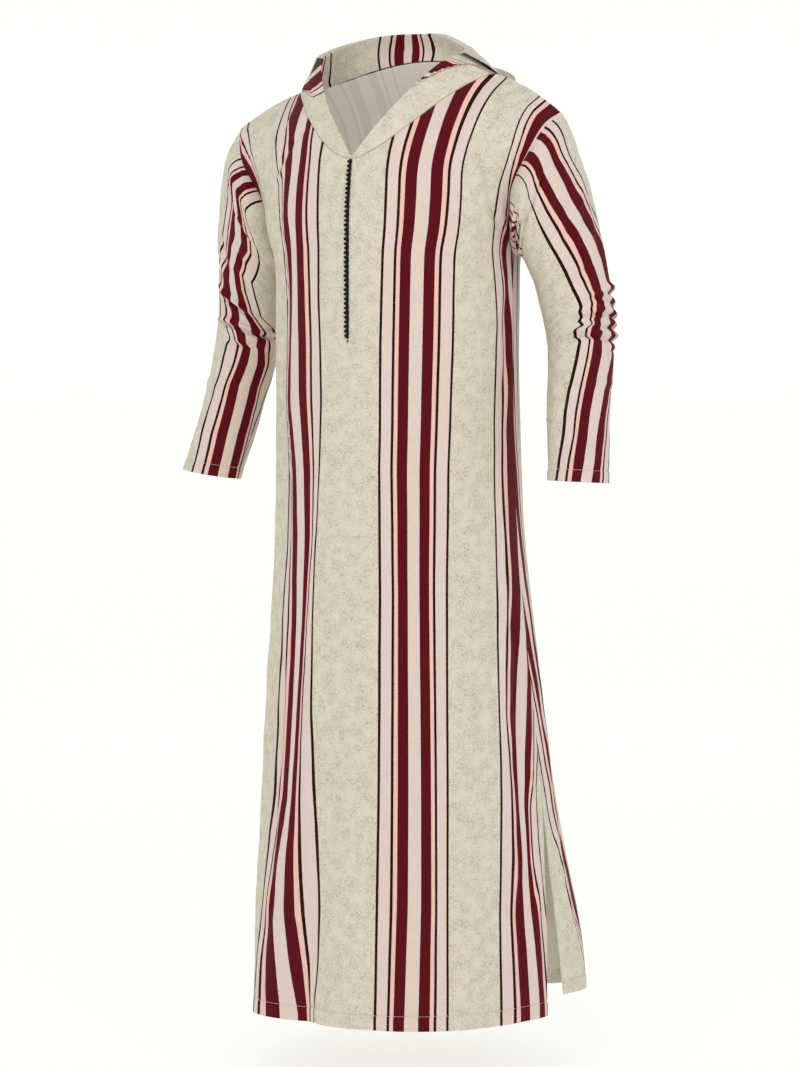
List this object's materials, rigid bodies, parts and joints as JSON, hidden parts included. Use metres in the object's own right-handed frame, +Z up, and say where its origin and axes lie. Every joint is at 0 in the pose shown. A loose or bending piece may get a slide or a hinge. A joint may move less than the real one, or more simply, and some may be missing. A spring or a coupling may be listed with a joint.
{
  "type": "hooded djellaba robe",
  "caption": "Ankle-length striped robe with long sleeves, a V neck with a knotted braid and a hood hanging down the back, filled out with no wearer.",
  "frame": {"origin": "midway between the two points where the shoulder seams meet the neck, where the wearer's shoulders hold the robe", "axes": "+Z up, -Y towards the front, +X towards the wearer's left"},
  "size_m": [0.69, 0.4143, 1.456],
  "materials": {
    "striped_cloth": "matte woven",
    "black_braid": "matte cord"
  },
  "bodies": {
    "root": {"front_panel": "striped_cloth", "back_panel": "striped_cloth", "sleeve_left": "striped_cloth", "sleeve_right": "striped_cloth", "hood_neck": "striped_cloth", "hood_bag": "striped_cloth", "placket_braid": "black_braid"}
  },
  "joints": []
}
